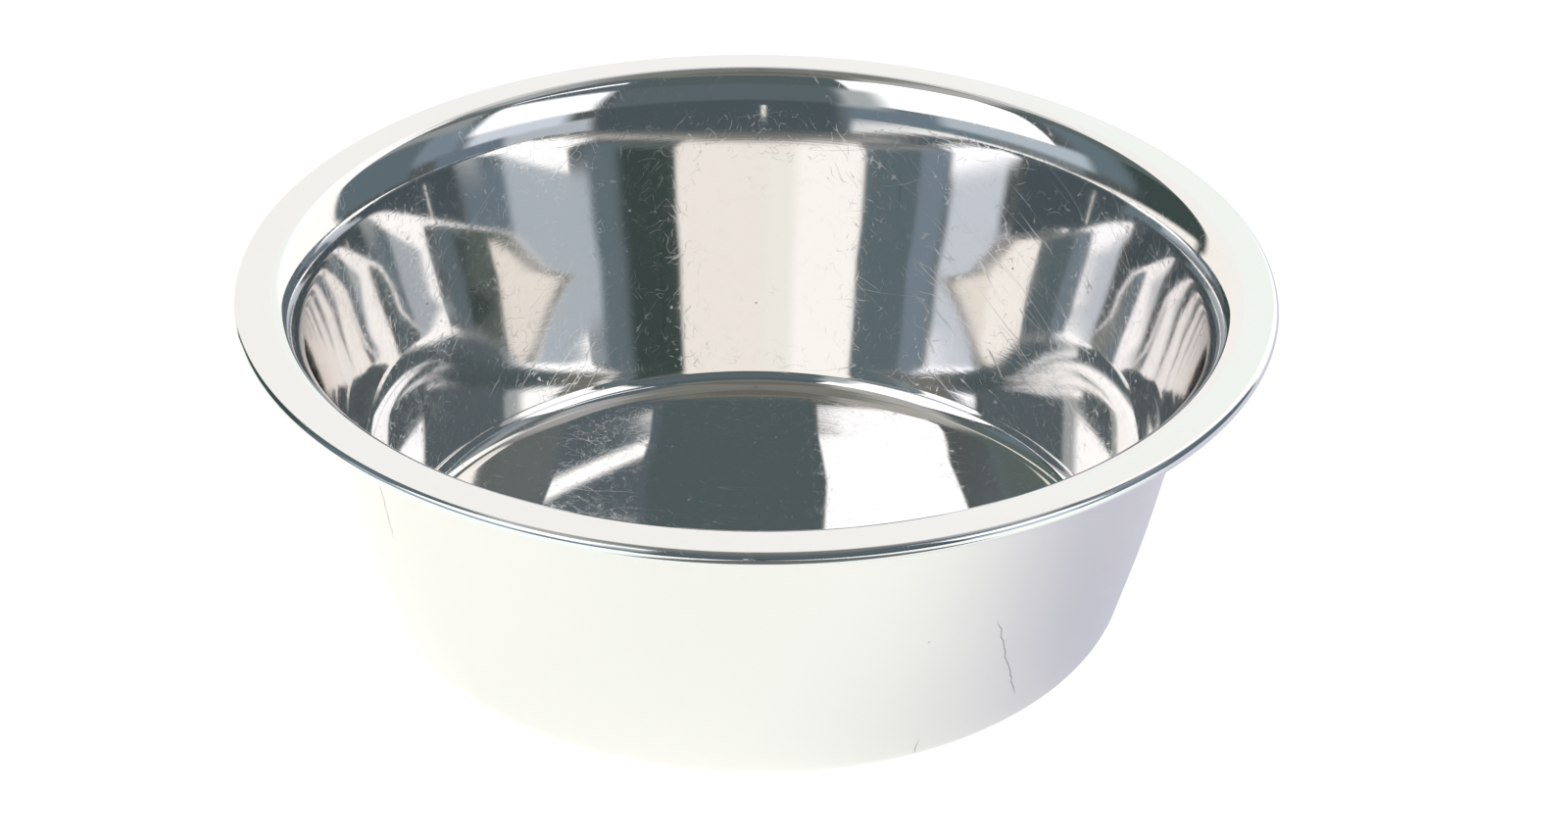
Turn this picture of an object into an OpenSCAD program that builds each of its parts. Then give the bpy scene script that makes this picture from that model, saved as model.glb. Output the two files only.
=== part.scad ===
// Round stainless bowl for food or water, drawn from one disc of sheet steel.
// The base stands on Z = 0 and the bowl's axis is Z. Millimetres.

/* [Rim] */
// Diameter over the rolled edge
rim_d = 170; // [130:1:260]
// Width of the rim, from the rolled edge's outside to the start of the bend into the bowl
rim_w = 5.4; // [3.8:0.1:12]
// Fall of the rim towards the rolled edge, in degrees
rim_slope = 2; // [0:0.5:6]
// Outer diameter of the rolled edge
roll_d = 2.4; // [1.6:0.1:3.4]
// Length of sheet that runs back under the rim after the roll
roll_return = 1.2; // [0.4:0.1:2.5]
// Radius of the bend from the rim into the bowl, on the upper face
mouth_r = 3.4; // [1.5:0.1:8]

/* [Wall] */
// Height from the base to the top of the rim
bowl_h = 57.3; // [51:0.1:100]
// Thickness of the steel
sheet = 0.5; // [0.3:0.05:0.6]
// Slope of the inner face where the tight bend over the mouth ends, in degrees from upright
shoulder_angle = 44; // [20:0.5:60]
// Radius of the wider bend below it, on the inner face
shoulder_r = 13.8; // [5:0.1:30]
// Slope of the wall at the foot of that bend, in degrees from upright
flare_angle = 15.6; // [12:0.1:16.8]
// Radius of the long flare below it, on the inner face
flare_r = 370; // [150:5:480]
// Slope of the wall at its steepest, in degrees from upright
waist_angle = 11.5; // [10.7:0.1:15]
// Radius of the bulge that the wall has below its steepest place, on the inner face
belly_r = 200; // [20:1:320]
// Slope of the straight wall above the corner, in degrees from upright
foot_angle = 15.2; // [11.8:0.1:17.7]

/* [Base] */
// Outer radius of the corner between the wall and the base
base_r = 4.8; // [2:0.1:14]

/* [Hidden] */

// Facets on a full turn of the bowl
turn_facets = 240;
// Largest step along a tight bend of the sheet, along the shoulder and along the long curves, in degrees
bend_step = 5;
shoulder_step = 3;
wall_step = 0.6;

// Direction of an angle in the section: 0 is outwards, 90 is up
function toward(angle) = [cos(angle), sin(angle)];

// Points along a bend, from one angle to another around its centre
function bend(centre, radius, from, to, step) =
    let (steps = ceil(abs(to - from) / step))
    [for (k = [0 : steps]) centre + radius * toward(from + (to - from) * k / steps)];

// Directions that the faces look in: the rim's top, and the inner face at the ends of its bends
rim_face = 90 - rim_slope;
shoulder_face = 180 - shoulder_angle;
flare_face = 180 - flare_angle;
waist_face = 180 - waist_angle;

// Bend over the mouth: its centre, and the ends of its upper face
mouth_centre = [rim_d / 2 - rim_w, bowl_h - mouth_r];
mouth_top = mouth_centre + mouth_r * toward(rim_face);
mouth_end = mouth_centre + mouth_r * toward(shoulder_face);

// Rolled edge: the rim's top runs down onto it along the rim's slope
roll_r = roll_d / 2;
roll_touch_x = rim_d / 2 - roll_r + roll_r * toward(rim_face)[0];
roll_touch_z = mouth_top[1] - (roll_touch_x - mouth_top[0]) * tan(rim_slope);
roll_centre = [roll_touch_x, roll_touch_z] - roll_r * toward(rim_face);
roll_base = roll_centre - [0, roll_r];

// Shoulder and flare: their centres are outside the bowl
shoulder_centre = mouth_end - shoulder_r * toward(shoulder_face);
shoulder_end = shoulder_centre + shoulder_r * toward(flare_face);
flare_centre = shoulder_end - flare_r * toward(flare_face);
flare_end = flare_centre + flare_r * toward(waist_face);

// Belly: its centre is on the other side of the wall, and its lower end is where the straight wall starts
belly_centre = flare_end + belly_r * toward(waist_face);
belly_end = belly_centre + belly_r * toward(-foot_angle);

// Corner of the base: it starts where the straight wall has come down to it
corner_inner_r = base_r - sheet;
corner_top_z = base_r - corner_inner_r * sin(foot_angle);
corner_top_x = belly_end[0] - (belly_end[1] - corner_top_z) * tan(foot_angle);
corner_centre = [corner_top_x - corner_inner_r * cos(foot_angle), base_r];

// The sheet's upper and inner face, from the middle of the base to the end of the roll
upper_face = concat(
    [[0, sheet]],
    bend(corner_centre, corner_inner_r, -90, -foot_angle, bend_step),
    bend(belly_centre, belly_r, -foot_angle, -waist_angle, wall_step),
    bend(flare_centre, flare_r, waist_face, flare_face, wall_step),
    bend(shoulder_centre, shoulder_r, flare_face, shoulder_face, shoulder_step),
    bend(mouth_centre, mouth_r, shoulder_face, rim_face, bend_step),
    bend(roll_centre, roll_r, rim_face, -90, bend_step),
    [roll_base - [roll_return, 0]]
);

// The sheet's other face, from the end of the roll back to the middle of the base
lower_face = concat(
    [roll_base - [roll_return, -sheet]],
    bend(roll_centre, roll_r - sheet, -90, rim_face, bend_step),
    bend(mouth_centre, mouth_r - sheet, rim_face, shoulder_face, bend_step),
    bend(shoulder_centre, shoulder_r - sheet, shoulder_face, flare_face, shoulder_step),
    bend(flare_centre, flare_r - sheet, flare_face, waist_face, wall_step),
    bend(belly_centre, belly_r + sheet, -waist_angle, -foot_angle, wall_step),
    bend(corner_centre, base_r, -foot_angle, -90, bend_step),
    [[0, 0]]
);

module bowl() {
    color("gainsboro")
        rotate_extrude($fn = turn_facets)
            polygon(concat(upper_face, lower_face));
}

bowl();
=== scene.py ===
import math
import bpy
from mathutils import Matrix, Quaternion, Vector


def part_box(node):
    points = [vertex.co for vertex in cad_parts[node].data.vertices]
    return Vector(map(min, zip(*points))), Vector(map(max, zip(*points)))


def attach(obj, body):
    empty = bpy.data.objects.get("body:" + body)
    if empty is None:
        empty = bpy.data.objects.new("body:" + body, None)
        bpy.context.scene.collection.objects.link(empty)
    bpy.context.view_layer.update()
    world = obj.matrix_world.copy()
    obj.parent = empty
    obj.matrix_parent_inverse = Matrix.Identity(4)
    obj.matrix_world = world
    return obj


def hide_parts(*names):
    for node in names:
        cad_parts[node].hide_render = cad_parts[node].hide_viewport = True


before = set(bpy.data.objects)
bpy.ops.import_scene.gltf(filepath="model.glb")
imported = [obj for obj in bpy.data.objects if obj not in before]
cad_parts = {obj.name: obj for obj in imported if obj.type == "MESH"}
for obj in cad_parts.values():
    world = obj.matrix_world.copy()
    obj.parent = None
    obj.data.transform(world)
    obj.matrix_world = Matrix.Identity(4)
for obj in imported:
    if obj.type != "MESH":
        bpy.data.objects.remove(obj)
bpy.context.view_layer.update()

# The bowl: one disc of stainless sheet, drawn into a round bowl with a sloping wall.
# The wall bulges a little, flares into the bend over the mouth, and the rim's edge is rolled under.
# Base, wall and rim are one skin of the same sheet, so this is a single piece.
rim_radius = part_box("bowl")[1][0]
bowl_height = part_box("bowl")[1][2]
sheet = 0.0005
rim_width = 0.0054
rim_slope = 2
roll_radius = 0.0012
roll_return = 0.0012
mouth_radius = 0.0034
shoulder_angle = 44
shoulder_radius = 0.0138
flare_angle = 15.6
flare_radius = 0.370
waist_angle = 11.5
belly_radius = 0.200
foot_angle = 15.2
base_radius = 0.0048

# Facets on a full turn, the largest steps along the bends in degrees, and the rings on straight stretches
turn_steps = 360
tight_step = 3
roll_step = 6
shoulder_step = 1.5
flare_step = 0.15
belly_step = 0.3
floor_rings = 12
foot_rings = 6
rim_rings = 4
underside_rings = 4


def toward(angle):
    """Direction in the section: 0 is outwards, 90 is up."""
    return Vector((math.cos(math.radians(angle)), math.sin(math.radians(angle))))


def bend(centre, radius, start, end, step):
    """Points along a bend of the sheet, from one angle to another around its centre."""
    steps = max(1, math.ceil(abs(end - start) / step))
    return [centre + radius * toward(start + (end - start) * k / steps) for k in range(steps + 1)]


def straight(start, end, steps):
    """Points between two ends of a straight stretch, without the ends."""
    return [start.lerp(end, k / steps) for k in range(1, steps)]


def bowl_section():
    """The sheet's outline: from the middle of the base up, over the rim and back underneath."""
    rim_face = 90 - rim_slope
    shoulder_face = 180 - shoulder_angle
    flare_face = 180 - flare_angle
    waist_face = 180 - waist_angle
    mouth_centre = Vector((rim_radius - rim_width, bowl_height - mouth_radius))
    shoulder_centre = mouth_centre - (shoulder_radius - mouth_radius) * toward(shoulder_face)
    flare_centre = shoulder_centre - (flare_radius - shoulder_radius) * toward(flare_face)
    belly_centre = flare_centre + (flare_radius + belly_radius) * toward(waist_face)
    belly_foot = belly_centre + belly_radius * toward(-foot_angle)

    mouth_top = mouth_centre + mouth_radius * toward(rim_face)
    roll_touch = rim_radius - roll_radius + roll_radius * toward(rim_face).x
    roll_fall = (roll_touch - mouth_top.x) * math.tan(math.radians(rim_slope))
    roll_centre = Vector((roll_touch, mouth_top.y - roll_fall)) - roll_radius * toward(rim_face)
    roll_end = roll_centre - Vector((roll_return, roll_radius))

    corner_radius = base_radius - sheet
    corner_top = base_radius - corner_radius * math.sin(math.radians(foot_angle))
    wall_run = (belly_foot.y - corner_top) * math.tan(math.radians(foot_angle))
    corner_centre = Vector((belly_foot.x - wall_run - corner_radius * toward(foot_angle).x, base_radius))

    floor_middle = Vector((0, sheet))
    corner = bend(corner_centre, corner_radius, -90, -foot_angle, tight_step)
    belly = bend(belly_centre, belly_radius, -foot_angle, -waist_angle, belly_step)
    flare = bend(flare_centre, flare_radius, waist_face, flare_face, flare_step)
    shoulder = bend(shoulder_centre, shoulder_radius, flare_face, shoulder_face, shoulder_step)
    mouth = bend(mouth_centre, mouth_radius, shoulder_face, rim_face, tight_step)
    roll = bend(roll_centre, roll_radius, rim_face, -90, roll_step)
    upper = [floor_middle] + straight(floor_middle, corner[0], floor_rings) + corner
    upper += straight(corner[-1], belly[0], foot_rings) + belly + flare[1:] + shoulder[1:] + mouth[1:]
    upper += straight(mouth[-1], roll[0], rim_rings) + roll + [roll_end]

    underside_middle = Vector((0, 0))
    roll_inside = bend(roll_centre, roll_radius - sheet, -90, rim_face, 2 * roll_step)
    mouth_under = bend(mouth_centre, mouth_radius - sheet, rim_face, shoulder_face, 2 * tight_step)
    shoulder_under = bend(
        shoulder_centre, shoulder_radius - sheet, shoulder_face, flare_face, 2 * shoulder_step)
    flare_outside = bend(flare_centre, flare_radius - sheet, flare_face, waist_face, flare_step)
    belly_outside = bend(belly_centre, belly_radius + sheet, -waist_angle, -foot_angle, belly_step)
    corner_outside = bend(corner_centre, base_radius, -foot_angle, -90, tight_step)
    lower = [roll_end + Vector((0, sheet))] + roll_inside + mouth_under + shoulder_under[1:]
    lower += flare_outside[1:] + belly_outside[1:]
    lower += straight(belly_outside[-1], corner_outside[0], foot_rings) + corner_outside
    lower += straight(corner_outside[-1], underside_middle, underside_rings) + [underside_middle]
    return upper + lower


def spin(name, section, steps):
    """A closed solid of revolution about Z, from an outline that starts and ends on the axis."""
    turns = [2 * math.pi * k / steps for k in range(steps)]
    rings = section[1:-1]
    points = [(p.x * math.cos(turn), p.x * math.sin(turn), p.y) for p in rings for turn in turns]
    points += [(0, 0, section[0].y), (0, 0, section[-1].y)]
    faces = []
    for k in range(steps):
        after = (k + 1) % steps
        for ring in range(0, (len(rings) - 1) * steps, steps):
            faces.append((ring + k, ring + steps + k, ring + steps + after, ring + after))
        last_ring = (len(rings) - 1) * steps
        faces.append((len(points) - 2, k, after))
        faces.append((len(points) - 1, last_ring + after, last_ring + k))
    mesh = bpy.data.meshes.new(name)
    mesh.from_pydata(points, [], faces)
    mesh.shade_smooth()
    piece = bpy.data.objects.new(name, mesh)
    bpy.context.scene.collection.objects.link(piece)
    return piece


def new_group(name, inputs, outputs):
    """An empty shader node group with these sockets, and its input and output nodes."""
    tree = bpy.data.node_groups.new(name, "ShaderNodeTree")
    for label, kind, value in inputs:
        socket = tree.interface.new_socket(label, in_out="INPUT", socket_type=kind)
        if value is not None:
            socket.default_value = value
    for label, kind in outputs:
        tree.interface.new_socket(label, in_out="OUTPUT", socket_type=kind)
    return tree, tree.nodes.new("NodeGroupInput").outputs, tree.nodes.new("NodeGroupOutput").inputs


def node(tree, kind, settings=None, **inputs):
    """A node with its settings and inputs filled in, an input by its name or by i and its number."""
    made = tree.nodes.new(kind)
    for name, value in (settings or {}).items():
        setattr(made, name, value)
    for name, value in inputs.items():
        numbered = name[0] == "i" and name[1:].isdigit()
        socket = made.inputs[int(name[1:])] if numbered else made.inputs[name]
        if isinstance(value, bpy.types.NodeSocket):
            tree.links.new(value, socket)
        else:
            socket.default_value = value
    return made


def math_node(tree, operation, *values):
    """The result of one sum on values or sockets."""
    filled = {f"i{k}": value for k, value in enumerate(values)}
    return node(tree, "ShaderNodeMath", {"operation": operation}, **filled).outputs[0]


def ramp(tree, value, start, end, low=0.0, high=1.0, smooth=False):
    """A value turned into a mask: low at start, high at end, and clamped beyond them."""
    settings = {"interpolation_type": "SMOOTHSTEP"} if smooth else {}
    return node(tree, "ShaderNodeMapRange", settings, i0=value, i1=start, i2=end, i3=low, i4=high).outputs[0]


def mix(tree, share, first, second):
    """The first colour, changed to the second by its share."""
    return node(tree, "ShaderNodeMix", {"data_type": "RGBA"}, i0=share, i6=first, i7=second).outputs[2]


# Polishing marks: the bowl is polished while it spins, so the finest marks run round it.
# Across the sheet they change quickly, and along each turn slowly.
def polishing_marks():
    tree, given, result = new_group(
        "Polishing marks",
        [
            ("Lines per metre", "NodeSocketFloat", 2500.0), ("Run", "NodeSocketFloat", 12.0),
            ("Patches per metre", "NodeSocketFloat", 60.0),
        ],
        [("Height", "NodeSocketFloat"), ("Patches", "NodeSocketFloat"), ("Across", "NodeSocketFloat")],
    )
    grain = {"Detail": 3.0, "Roughness": 0.6}
    place = node(tree, "ShaderNodeTexCoord").outputs["Object"]
    split = node(tree, "ShaderNodeSeparateXYZ", i0=place).outputs
    squares = [math_node(tree, "MULTIPLY", side, side) for side in (split[0], split[1])]
    across = math_node(tree, "SQRT", math_node(tree, "ADD", *squares))
    along_sheet = math_node(tree, "ADD", across, split[2])
    lines = node(
        tree, "ShaderNodeCombineXYZ",
        i0=math_node(tree, "MULTIPLY", split[0], given["Run"]),
        i1=math_node(tree, "MULTIPLY", split[1], given["Run"]),
        i2=math_node(tree, "MULTIPLY", along_sheet, given["Lines per metre"]),
    ).outputs[0]
    height = node(tree, "ShaderNodeTexNoise", Vector=lines, Scale=1.0, **grain).outputs[0]
    patches = node(
        tree, "ShaderNodeTexNoise", Vector=place, Scale=given["Patches per metre"], **grain).outputs[0]
    tree.links.new(height, result["Height"])
    tree.links.new(patches, result["Patches"])
    tree.links.new(across, result["Across"])
    return tree


# Scratches of use: thin lines that cross each other, in patches, and a few specks of dirt.
# Each direction has its own turn and lean about the bowl, in radians, and lines per metre.
scratch_directions = ((0.3, 0.5, 700), (1.4, -0.9, 520), (2.3, 1.2, 820), (0.9, 2.2, 600))
scratch_lengths = 22
scratch_spread = 0.9
scratch_patches = (0.52, 0.62)
speck_edge = (0.05, 0.09)


def scratches():
    tree, given, result = new_group(
        "Scratches",
        [
            ("Width", "NodeSocketFloat", 0.016), ("Specks per metre", "NodeSocketFloat", 260.0),
            ("Clean share", "NodeSocketFloat", 0.95),
        ],
        [("Scratch", "NodeSocketFloat"), ("Speck", "NodeSocketFloat")],
    )
    place = node(tree, "ShaderNodeTexCoord").outputs["Object"]
    scratch = 0.0
    for turn, lean, fine in scratch_directions:
        along = node(
            tree, "ShaderNodeMapping", {"vector_type": "TEXTURE"}, Vector=place,
            Rotation=(lean, turn, turn + lean), Scale=(1 / fine, 1 / scratch_lengths, 1 / fine)).outputs[0]
        lines = node(tree, "ShaderNodeTexNoise", Vector=along, Scale=1.0, Detail=0.0).outputs[0]
        off = math_node(tree, "ABSOLUTE", math_node(tree, "SUBTRACT", lines, 0.5))
        thin = ramp(tree, off, 0.0, given["Width"], 1.0, 0.0)
        spread = node(
            tree, "ShaderNodeTexNoise", {"noise_dimensions": "4D"},
            Vector=along, W=turn, Scale=scratch_spread).outputs[0]
        line = math_node(tree, "MULTIPLY", thin, ramp(tree, spread, *scratch_patches))
        scratch = math_node(tree, "MAXIMUM", scratch, line)
    dots = node(tree, "ShaderNodeTexVoronoi", Vector=place, Scale=given["Specks per metre"])
    near = ramp(tree, dots.outputs["Distance"], *speck_edge, 1.0, 0.0)
    pick = node(tree, "ShaderNodeSeparateColor", i0=dots.outputs["Color"]).outputs[0]
    few = math_node(tree, "GREATER_THAN", pick, given["Clean share"])
    tree.links.new(scratch, result["Scratch"])
    tree.links.new(math_node(tree, "MULTIPLY", near, few), result["Speck"])
    return tree


# Hairlines: fine lines scored in the bowl's front, each leaning across the wall between two heights.
# They show on both faces of the sheet. Each has its place across the bowl at its top, how far it
# leans per metre down, its foot and its top.
hairline_places = (
    (0.0375, 0.20, 0.007, 0.029),
    (0.0262, -0.15, 0.0, 0.007),
    (-0.0585, 0.12, 0.030, 0.044),
)
hairline_core = 0.00004
hairline_edge = 0.00016
hairline_fade = 0.003
hairline_waver = 0.001
hairline_bends = 300


def hairline():
    tree, given, result = new_group(
        "Hairline",
        [
            ("Start", "NodeSocketFloat", 0.0), ("Lean", "NodeSocketFloat", 0.0),
            ("Foot", "NodeSocketFloat", 0.0), ("Top", "NodeSocketFloat", 0.0),
        ],
        [("Line", "NodeSocketFloat")],
    )
    place = node(tree, "ShaderNodeTexCoord").outputs["Object"]
    split = node(tree, "ShaderNodeSeparateXYZ", i0=place).outputs
    wander = node(
        tree, "ShaderNodeTexNoise", {"noise_dimensions": "1D"}, W=split[2], Scale=hairline_bends).outputs[0]
    waver = math_node(tree, "MULTIPLY", math_node(tree, "SUBTRACT", wander, 0.5), hairline_waver)
    run = math_node(tree, "MULTIPLY", math_node(tree, "SUBTRACT", given["Top"], split[2]), given["Lean"])
    path = math_node(tree, "ADD", given["Start"], math_node(tree, "ADD", run, waver))
    off = math_node(tree, "ABSOLUTE", math_node(tree, "SUBTRACT", split[0], path))
    thin = ramp(tree, off, hairline_core, hairline_edge, 1.0, 0.0)
    below = ramp(tree, split[2], given["Top"], math_node(tree, "SUBTRACT", given["Top"], hairline_fade))
    above = ramp(tree, split[2], given["Foot"], math_node(tree, "ADD", given["Foot"], hairline_fade))
    front = math_node(tree, "LESS_THAN", split[1], 0.0)
    line = math_node(tree, "MULTIPLY", thin, math_node(tree, "MULTIPLY", below, above))
    tree.links.new(math_node(tree, "MULTIPLY", line, front), result["Line"])
    return tree


# The steel: mirror polish, with the marks and scratches above in its gloss and relief, and the hairlines
# above in its colour.
# The inside is a little warmer than the rim: the rim's cooler tint is a painted reflection tint, standing in
# for the neutral light it mirrors. The specks are dull, and the hairlines are dark.
polished_steel = bpy.data.materials.new("polished_steel")
polished_steel.use_nodes = True
steel = polished_steel.node_tree
steel_shader = steel.nodes["Principled BSDF"]
steel_shader.inputs["Metallic"].default_value = 1.0
marks = node(steel, "ShaderNodeGroup", {"node_tree": polishing_marks()}).outputs
wear = node(steel, "ShaderNodeGroup", {"node_tree": scratches()}).outputs
hairline_group = hairline()
hairlines = 0.0
for start, lean, foot, top in hairline_places:
    line = node(
        steel, "ShaderNodeGroup", {"node_tree": hairline_group}, Start=start, Lean=lean, Foot=foot, Top=top)
    hairlines = math_node(steel, "MAXIMUM", hairlines, line.outputs["Line"])

inside_colour = (0.925, 0.908, 0.895, 1)
# Painted reflection tint: the rim's cooler colour stands in for the neutral light that the rim mirrors, on
# the same steel as the inside.
rim_painted_reflection_tint = (0.905, 0.92, 0.94, 1)
speck_colour = (0.80, 0.79, 0.76, 1)
hairline_colour = (0.45, 0.44, 0.45, 1)
rim_edge = rim_radius - rim_width - mouth_radius
colour_start = 0.0005
colour_end = 0.0025
on_rim = ramp(steel, marks["Across"], rim_edge + colour_start, rim_edge + colour_end, smooth=True)
plain = mix(steel, on_rim, inside_colour, rim_painted_reflection_tint)
with_specks = mix(steel, wear["Speck"], plain, speck_colour)
with_hairlines = mix(steel, hairlines, with_specks, hairline_colour)
steel.links.new(with_hairlines, steel_shader.inputs["Base Color"])

polish_patches = (0.3, 0.75)
finest_polish = 0.02
dullest_polish = 0.055
scratch_roughness = 0.22
speck_roughness = 0.4
polish = ramp(steel, marks["Patches"], *polish_patches, finest_polish, dullest_polish)
scratched = math_node(steel, "MULTIPLY", wear["Scratch"], scratch_roughness)
specked = math_node(steel, "MULTIPLY", wear["Speck"], speck_roughness)
dull = math_node(steel, "MAXIMUM", scratched, specked)
steel.links.new(math_node(steel, "ADD", polish, dull), steel_shader.inputs["Roughness"])

mark_depth = 0.0000012
scratch_depth = 0.000002
scratch_strength = 0.6
relief = node(
    steel, "ShaderNodeBump", Strength=1.0, Distance=mark_depth, Height=marks["Height"]).outputs["Normal"]
relief = node(
    steel, "ShaderNodeBump", Strength=scratch_strength, Distance=scratch_depth,
    Height=wear["Scratch"], Normal=relief).outputs["Normal"]
steel.links.new(relief, steel_shader.inputs["Normal"])

bowl = spin("drawn_bowl", bowl_section(), turn_steps)
bowl.data.materials.append(polished_steel)
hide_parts("bowl")
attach(bowl, "root")

# The floor: a sheet of white paper that the bowl stands on, laid flat.
# The camera and the steel see it lit by itself, and its shadow comes from the light that falls on it;
# in what the steel mirrors, shade is also painted to the bowl's right and in front of it.
floor_size = 8.0
floor_gap = 0.0001
floor_glow = 0.80
bpy.ops.mesh.primitive_plane_add(size=floor_size, location=(0, 0, -floor_gap))
floor = bpy.context.object
floor.name = "white_floor"
white_paper = bpy.data.materials.new("white_paper")
white_paper.use_nodes = True
paper = white_paper.node_tree
paper_shader = paper.nodes["Principled BSDF"]
paper_shader.inputs["Roughness"].default_value = 0.9
paper_shader.inputs["Specular IOR Level"].default_value = 0.0
rays = node(paper, "ShaderNodeLightPath").outputs
mirrored = math_node(paper, "MAXIMUM", rays["Is Glossy Ray"], rays["Is Transmission Ray"])
seen = math_node(paper, "MAXIMUM", rays["Is Camera Ray"], mirrored)
paper.links.new(math_node(paper, "MULTIPLY", seen, floor_glow), paper_shader.inputs["Emission Strength"])
floor_place = node(paper, "ShaderNodeTexCoord").outputs["Object"]
floor_spot = node(paper, "ShaderNodeSeparateXYZ", i0=floor_place).outputs


def floor_patch(across, away, soft):
    """1 in a soft-edged rectangle of the floor as the steel mirrors it. A side may be left open by None."""
    inside = mirrored
    for distance, (low, high) in ((floor_spot[0], across), (floor_spot[1], away)):
        for edge, sign in ((low, 1), (high, -1)):
            if edge is not None:
                half = sign * soft / 2
                step = ramp(paper, distance, edge - half, edge + half, smooth=True)
                inside = math_node(paper, "MULTIPLY", inside, step)
    return inside


# What the steel mirrors of the floor: warm white, with a painted shade to the bowl's right and a
# painted dark shade in front of it, towards the camera. The camera itself sees plain white.
paper_colour = (0.8, 0.8, 0.8, 1)
plain_white = (1, 1, 1, 1)
floor_white = (0.86, 0.87, 0.79, 1)
floor_shaded = (0.34, 0.335, 0.42, 1)
floor_painted_shade_front = (0.12, 0.12, 0.12, 1)
# Painted shade: the floor to the bowl's right is darkened where the steel mirrors it, in place of the bowl's
# shadow.
shade = floor_patch(across=(0.030, None), away=(-0.066, None), soft=0.080)
# Painted shade: the floor in front of the bowl, towards the camera, is darkened where the steel mirrors it.
front = floor_patch(across=(-0.042, 0.088), away=(None, -0.105), soft=0.014)
warm = mix(paper, mirrored, plain_white, floor_white)
shaded = mix(paper, shade, warm, floor_shaded)
for lit, socket in ((shaded, "Emission Color"), (paper_colour, "Base Color")):
    paper.links.new(mix(paper, front, lit, floor_painted_shade_front), paper_shader.inputs[socket])
floor.data.materials.append(white_paper)

# The studio: white paper behind the bowl, soft boxes to its left and right, and a dark room on
# the camera's side. Azimuth is from the camera's side, positive to the right, in degrees.
studio = bpy.data.worlds.new("studio")
bpy.context.scene.world = studio
studio.use_nodes = True
room = studio.node_tree
room.nodes.clear()


def screen(red, green, blue):
    """A colour as it shows on a screen, 0 to 255, as linear light."""
    def linear(value):
        value = value / 255
        return value / 12.92 if value <= 0.04045 else ((value + 0.055) / 1.055) ** 2.4
    return linear(red), linear(green), linear(blue), 1.0


def studio_panel():
    """A panel of the studio over what is behind it, as a node group."""
    tree, given, result = new_group(
        "Studio panel",
        [
            ("Azimuth", "NodeSocketFloat", None), ("Elevation", "NodeSocketFloat", None),
            ("Behind", "NodeSocketColor", None), ("Colour", "NodeSocketColor", None),
            ("Middle", "NodeSocketFloat", None), ("Half width", "NodeSocketFloat", None),
            ("Foot", "NodeSocketFloat", None), ("Top", "NodeSocketFloat", None),
            ("Tilt", "NodeSocketFloat", None), ("Soft", "NodeSocketFloat", None),
        ],
        [("Colour", "NodeSocketColor")],
    )
    across = math_node(tree, "SUBTRACT", given["Azimuth"], given["Middle"])
    across = math_node(tree, "WRAP", across, 180.0, -180.0)
    tilted = math_node(tree, "MULTIPLY", across, given["Tilt"])
    level = math_node(tree, "SUBTRACT", given["Elevation"], tilted)
    from_side = math_node(tree, "SUBTRACT", given["Half width"], math_node(tree, "ABSOLUTE", across))
    from_foot = math_node(tree, "SUBTRACT", level, given["Foot"])
    from_top = math_node(tree, "SUBTRACT", given["Top"], level)
    outer = math_node(tree, "MULTIPLY", given["Soft"], -0.5)
    inner = math_node(tree, "MULTIPLY", given["Soft"], 0.5)
    inside = 1.0
    for distance in (from_side, from_foot, from_top):
        inside = math_node(tree, "MULTIPLY", inside, ramp(tree, distance, outer, inner, smooth=True))
    tree.links.new(mix(tree, inside, given["Behind"], given["Colour"]), result["Colour"])
    return tree


degrees = 180 / math.pi
looking = node(room, "ShaderNodeTexCoord").outputs["Generated"]
direction = node(room, "ShaderNodeSeparateXYZ", i0=looking).outputs
elevation = math_node(room, "MULTIPLY", math_node(room, "ARCSINE", direction[2]), degrees)
towards_camera = math_node(room, "MULTIPLY", direction[1], -1.0)
azimuth = math_node(room, "MULTIPLY", math_node(room, "ARCTAN2", direction[0], towards_camera), degrees)

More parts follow.
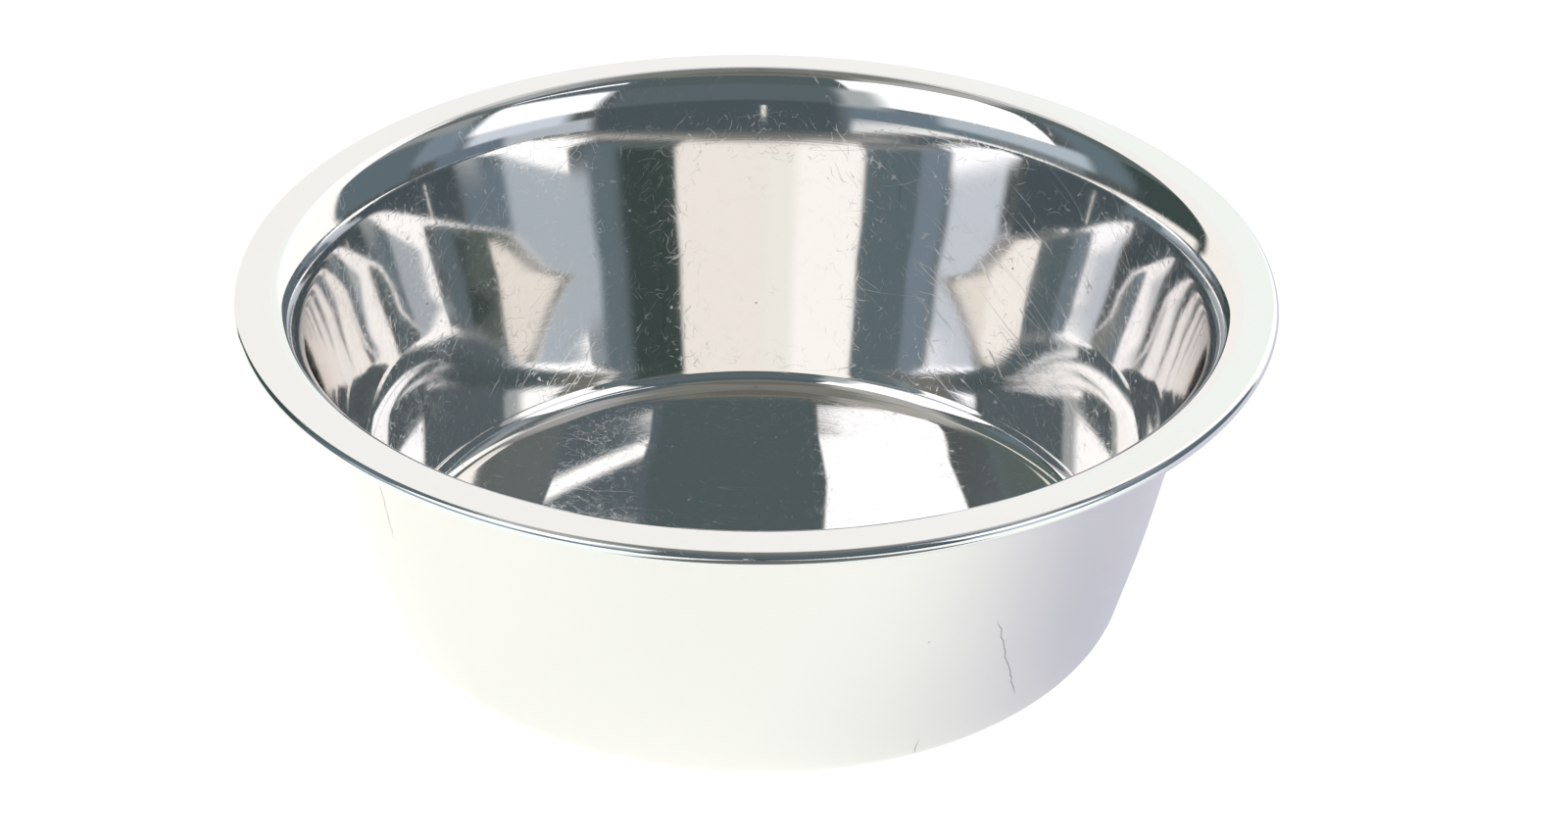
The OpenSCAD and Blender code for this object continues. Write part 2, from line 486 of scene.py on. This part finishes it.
# Each panel: what it is, its colour on screen, from and to azimuth, foot and top, tilt, softness
panels = [
    ("floor beyond", (250, 250, 250), -180, 180, -90, -1, 0, 1),
    ("ceiling", (124, 126, 121), -180, 180, 62, 95, 0, 8),
    ("lamp glow on ceiling, left", (176, 176, 172), -140, -40, 60, 74, 0, 8),
    ("lamp glow on ceiling, right", (166, 168, 168), 88, 150, 58, 72, 0, 8),
    ("ceiling over the camera", (108, 108, 101), -50, 45, 70, 95, 0, 6),
    ("paper behind", (253, 249, 243), 125, 223, -5, 56, 0, 3),
    ("paper's greenish part", (251, 253, 246), 157, 175, -5, 34, 0, 6),
    ("paper, nearer the right lamp", (268, 267, 264), 125, 160, -5, 50, 0, 8),
    ("paper's curled top", (212, 211, 208), 136, 223, 53, 64, 0, 6),
    ("left wall, upper", (94, 106, 104), -138, -104, 33, 62, 0, 5),
    ("left wall", (62, 76, 74), -138, -108, 5, 34, 0, 4),
    ("left wall, nearer", (102, 118, 126), -108, -90, 14, 50, 0, 10),
    ("left shelf edge", (252, 250, 244), -134, -82, -12, 6, -0.12, 4),
    ("left shelf edge, near", (206, 210, 210), -84, -46, -3, 5, 0, 4),
    ("left stand", (122, 130, 134), -90, -58, 5, 14, 0, 4),
    ("left, blue cloth", (110, 126, 136), -60, -22, 3, 26, 0, 8),
    ("floor at the left, far", (246, 247, 247), -80, -24, -3, 4.5, 0, 3),
    ("left soft box, foot", (180, 192, 202), -93, -48, 13, 27, 0, 6),
    ("left soft box", (282, 284, 286), -83, -27, 26, 60.4, 0, 1.6),
    ("left soft box, near edge", (172, 178, 180), -34, -21, 22, 47, 0, 9),
    ("camera side", (76, 88, 94), -20, 41, -2, 26, 0, 4),
    ("behind the camera", (92, 104, 110), -22, 40, 25, 50, 0, 5),
    ("dark over the camera", (84, 97, 100), -26, 44, 50, 63, 0, 4),
    ("gap in the dark", (236, 236, 228), -2.0, -0.8, 5, 17, 0, 0.8),
    ("right soft box, low", (180, 188, 196), 43, 69, -2, 15, 0, 4),
    ("right soft box, foot", (208, 217, 228), 50, 79, 13, 27, 0, 6),
    ("right soft box", (285, 288, 294), 44, 81, 26, 49, 0, 5),
    ("right soft box, top", (92, 104, 110), 41, 88, 49, 72, 0, 4),
    ("right streak", (300, 300, 300), 45, 82, 54.2, 56.2, -0.16, 1.2),
    ("right stand", (106, 120, 132), 67, 88, -2, 14, 0, 4),
    ("right wall, near", (122, 138, 150), 81, 98, 14, 40, 0, 8),
    ("right wall", (96, 112, 119), 97, 125, 6, 37, 0, 3),
    ("right wall, higher", (146, 152, 153), 86, 124, 37, 48, 0, 5),
    ("right wall, upper", (104, 112, 112), 84, 124, 49, 56, 0, 4),
]
bare_room = screen(88, 94, 95)
colour = node(room, "ShaderNodeRGB").outputs["Color"]
colour.default_value = bare_room
panel_group = studio_panel()
for name, tone, left, right, foot, top, tilt, soft in panels:
    panel = node(
        room, "ShaderNodeGroup", {"node_tree": panel_group, "label": name},
        Azimuth=azimuth, Elevation=elevation, Behind=colour, Colour=screen(*tone),
        Middle=(left + right) / 2, Foot=foot, Top=top, Tilt=tilt, Soft=soft)
    panel.inputs["Half width"].default_value = (right - left) / 2
    colour = panel.outputs["Colour"]
camera_ray = node(room, "ShaderNodeLightPath").outputs["Is Camera Ray"]
backdrop = mix(room, camera_ray, colour, plain_white)
studio_light = node(room, "ShaderNodeBackground", Color=backdrop, Strength=1.0).outputs["Background"]
node(room, "ShaderNodeOutputWorld", Surface=studio_light)

# The camera: in front of the bowl and above it, with a long lens, tipped a little to one side.
# The steel mirrors itself many times over in the corner of the bowl, so the light may bounce often.
camera_place = Vector((0, -0.533, 0.346))
camera_aim = Vector((0.0048, -0.0004, 0.030))
camera_tip = math.radians(0.78)
steel_bounces = 12
camera = bpy.data.objects.new("camera", bpy.data.cameras.new("camera"))
camera.data.lens = 85.1
camera.data.sensor_width = 36
camera.location = camera_place
camera.rotation_mode = "QUATERNION"
camera_view = (camera_aim - camera_place).to_track_quat("-Z", "Y")
camera.rotation_quaternion = camera_view @ Quaternion((0, 0, 1), camera_tip)
bpy.context.scene.collection.objects.link(camera)
bpy.context.scene.camera = camera
bpy.context.scene.view_settings.view_transform = "Standard"
bpy.context.scene.cycles.glossy_bounces = steel_bounces
